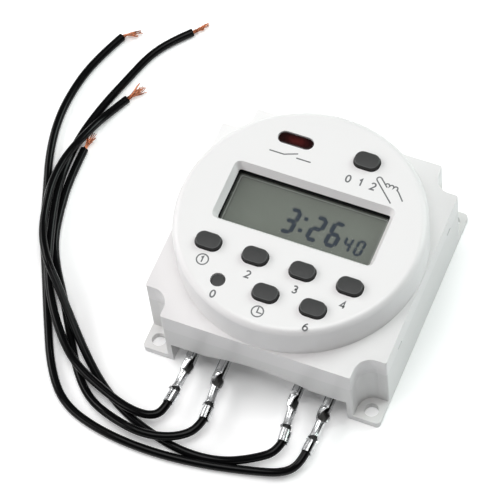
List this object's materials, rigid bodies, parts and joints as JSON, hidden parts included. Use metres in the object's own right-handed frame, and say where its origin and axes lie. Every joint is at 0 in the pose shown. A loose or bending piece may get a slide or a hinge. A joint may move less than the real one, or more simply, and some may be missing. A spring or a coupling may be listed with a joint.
{
  "type": "digital timer switch",
  "caption": "Square panel timer switch with a round raised face, display window, status lamp, oval keys, screw ears in corner pockets and crimped leads on spade tabs.",
  "frame": {"origin": "middle of the underside of the case, where it stands on its panel", "axes": "+Z out of the face, +Y from the terminal recess towards the status lamp, +X to the reader's right"},
  "size_m": [0.1061, 0.1165, 0.0318],
  "materials": {
    "housing_white": "moulded gloss",
    "window_clear": "polished clear plastic",
    "display_cell": "reflective display under a polariser",
    "frame_black": "moulded matt",
    "strip_rubber": "cut silicone",
    "lens_red": "dark translucent",
    "lamp_red": "cast epoxy",
    "key_grey": "fine spark texture",
    "plunger_black": "moulded",
    "switch_black": "moulded",
    "board_green": "lacquered laminate",
    "chip_black": "moulded",
    "can_metal": "drawn can",
    "cell_steel": "pressed steel",
    "relay_blue": "moulded",
    "film_yellow": "moulded",
    "varistor_blue": "dipped lacquer",
    "resistor_grey": "dipped lacquer",
    "tab_brass": "tinned",
    "receptacle_tin": "bright tinned",
    "lead_black": "extruded gloss",
    "strand_copper": "bare drawn copper"
  },
  "bodies": {
    "housing": {"rear_case": "housing_white", "front_cover": "housing_white", "display_window": "window_clear", "display_glass": "display_cell", "display_frame": "frame_black", "contact_strip": "strip_rubber", "lamp_lens": "lens_red", "status_lamp": "lamp_red", "push_switches": "switch_black", "control_board": "board_green", "power_board": "board_green", "controller_chip": "chip_black", "rectifier_diodes": "chip_black", "board_link": "chip_black", "watch_crystal": "can_metal", "filter_capacitor": "can_metal", "backup_cell": "cell_steel", "relay": "relay_blue", "film_capacitor": "film_yellow", "varistor": "varistor_blue", "dropper_resistor": "resistor_grey", "spade_tab_1": "tab_brass", "spade_tab_2": "tab_brass", "spade_tab_3": "tab_brass", "spade_tab_4": "tab_brass", "receptacle_1": "receptacle_tin", "receptacle_2": "receptacle_tin", "receptacle_3": "receptacle_tin", "receptacle_4": "receptacle_tin", "lead_1": "lead_black", "lead_2": "lead_black", "lead_3": "lead_black", "lead_4": "lead_black", "bare_end_1": "strand_copper", "bare_end_2": "strand_copper", "bare_end_3": "strand_copper", "bare_end_4": "strand_copper"},
    "manual_key": {"manual_key": "key_grey", "manual_key_plunger": "plunger_black"},
    "upper_key_1": {"upper_key_1": "key_grey", "upper_key_1_plunger": "plunger_black"},
    "upper_key_2": {"upper_key_2": "key_grey", "upper_key_2_plunger": "plunger_black"},
    "upper_key_3": {"upper_key_3": "key_grey", "upper_key_3_plunger": "plunger_black"},
    "upper_key_4": {"upper_key_4": "key_grey", "upper_key_4_plunger": "plunger_black"},
    "lower_key_1": {"lower_key_1": "key_grey", "lower_key_1_plunger": "plunger_black"},
    "lower_key_2": {"lower_key_2": "key_grey", "lower_key_2_plunger": "plunger_black"},
    "reset_button": {"reset_button": "key_grey", "reset_button_plunger": "plunger_black"}
  },
  "joints": [
    {"name": "manual_key_press", "type": "slide", "parent": "housing", "child": "manual_key", "axis": [0, 0, -1], "range_m": [0, 0.0005], "stiffness_N_per_m": 2000},
    {"name": "upper_key_1_press", "type": "slide", "parent": "housing", "child": "upper_key_1", "axis": [0, 0, -1], "range_m": [0, 0.0005], "stiffness_N_per_m": 2000},
    {"name": "upper_key_2_press", "type": "slide", "parent": "housing", "child": "upper_key_2", "axis": [0, 0, -1], "range_m": [0, 0.0005], "stiffness_N_per_m": 2000},
    {"name": "upper_key_3_press", "type": "slide", "parent": "housing", "child": "upper_key_3", "axis": [0, 0, -1], "range_m": [0, 0.0005], "stiffness_N_per_m": 2000},
    {"name": "upper_key_4_press", "type": "slide", "parent": "housing", "child": "upper_key_4", "axis": [0, 0, -1], "range_m": [0, 0.0005], "stiffness_N_per_m": 2000},
    {"name": "lower_key_1_press", "type": "slide", "parent": "housing", "child": "lower_key_1", "axis": [0, 0, -1], "range_m": [0, 0.0005], "stiffness_N_per_m": 2000},
    {"name": "lower_key_2_press", "type": "slide", "parent": "housing", "child": "lower_key_2", "axis": [0, 0, -1], "range_m": [0, 0.0005], "stiffness_N_per_m": 2000},
    {"name": "reset_button_press", "type": "slide", "parent": "housing", "child": "reset_button", "axis": [0, 0, -1], "range_m": [0, 0.0005], "stiffness_N_per_m": 2000}
  ]
}
